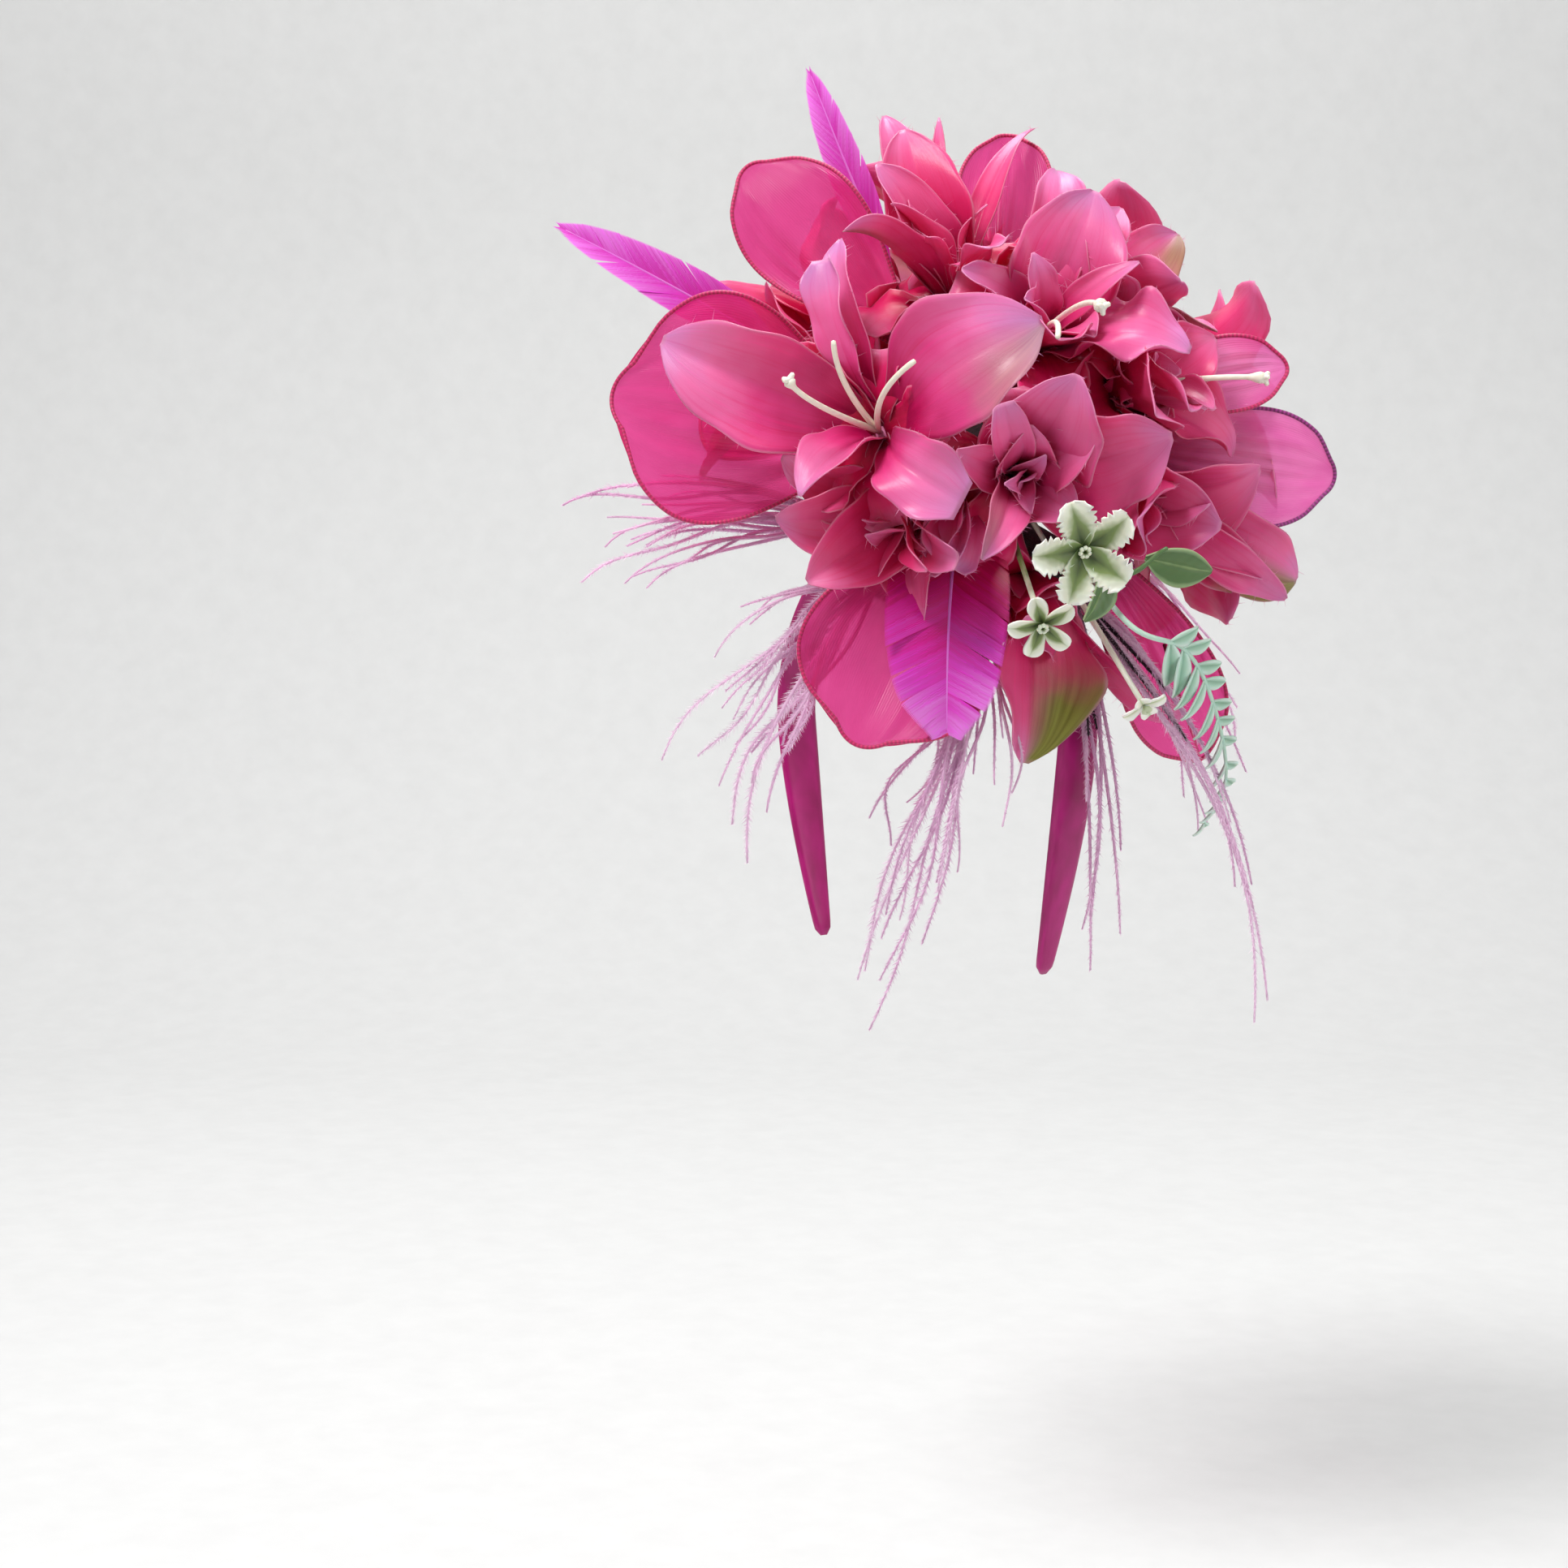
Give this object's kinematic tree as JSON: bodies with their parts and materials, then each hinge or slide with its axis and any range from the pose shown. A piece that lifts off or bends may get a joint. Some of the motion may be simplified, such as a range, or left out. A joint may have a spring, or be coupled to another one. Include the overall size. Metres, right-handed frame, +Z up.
{
  "type": "fascinator hat",
  "caption": "Headband fascinator: a satin band with a padded felt base that holds pink fabric lilies, sheer petals, feather plumes and green sprigs at one side.",
  "frame": {"origin": "inner face of the headband at the crown of the head", "axes": "+X towards the wearer's left, -Y towards the wearer's front, +Z up; the headband lies in the plane Y = 0"},
  "size_m": [0.2061, 0.2291, 0.3051],
  "materials": {
    "satin_band": "fuchsia satin ribbon wrapped round a flexible band",
    "dark_felt": "dark felt, matt",
    "lily_satin": "printed polyester satin, pale lilac pink at the tips, crimson at the throat",
    "sheer_organza": "sheer glossy organza with a rolled wired rim",
    "goose_feather": "dyed goose feather with a silky sheen",
    "ostrich_plume": "pale lilac ostrich barbs, soft and matt",
    "pistil_plastic": "cream soft plastic",
    "leaf_plastic": "green and cream soft plastic leaves",
    "mint_plastic": "pale mint soft plastic leaves"
  },
  "bodies": {
    "root": {"headband": "satin_band", "base_pad": "dark_felt", "lily_front": "lily_satin", "lily_top": "lily_satin", "lily_crown": "lily_satin", "lily_centre": "lily_satin", "lily_right": "lily_satin", "lily_side": "lily_satin", "lily_under": "lily_satin", "lily_low": "lily_satin", "lily_ridge": "lily_satin", "lily_rear": "lily_satin", "lily_peak": "lily_satin", "lily_rear_top": "lily_satin", "lily_rear_low": "lily_satin", "lily_far": "lily_satin", "lily_far_front": "lily_satin", "lily_far_rear": "lily_satin", "organza_left": "sheer_organza", "organza_top_left": "sheer_organza", "organza_top": "sheer_organza", "organza_right": "sheer_organza", "organza_right_top": "sheer_organza", "organza_low_left": "sheer_organza", "organza_low_right": "sheer_organza", "organza_rear": "sheer_organza", "organza_far": "sheer_organza", "goose_feather_left": "goose_feather", "goose_feather_top": "goose_feather", "goose_feather_low": "goose_feather", "pistil_front": "pistil_plastic", "pistil_crown": "pistil_plastic", "pistil_right": "pistil_plastic", "plume_front": "ostrich_plume", "plume_temple": "ostrich_plume", "plume_lower": "ostrich_plume", "plume_side": "ostrich_plume", "plume_rear": "ostrich_plume", "leaf_pair": "leaf_plastic", "trailing_sprig": "mint_plastic", "variegated_sprig": "leaf_plastic", "lobed_flower": "leaf_plastic", "white_bud": "pistil_plastic"}
  },
  "joints": []
}
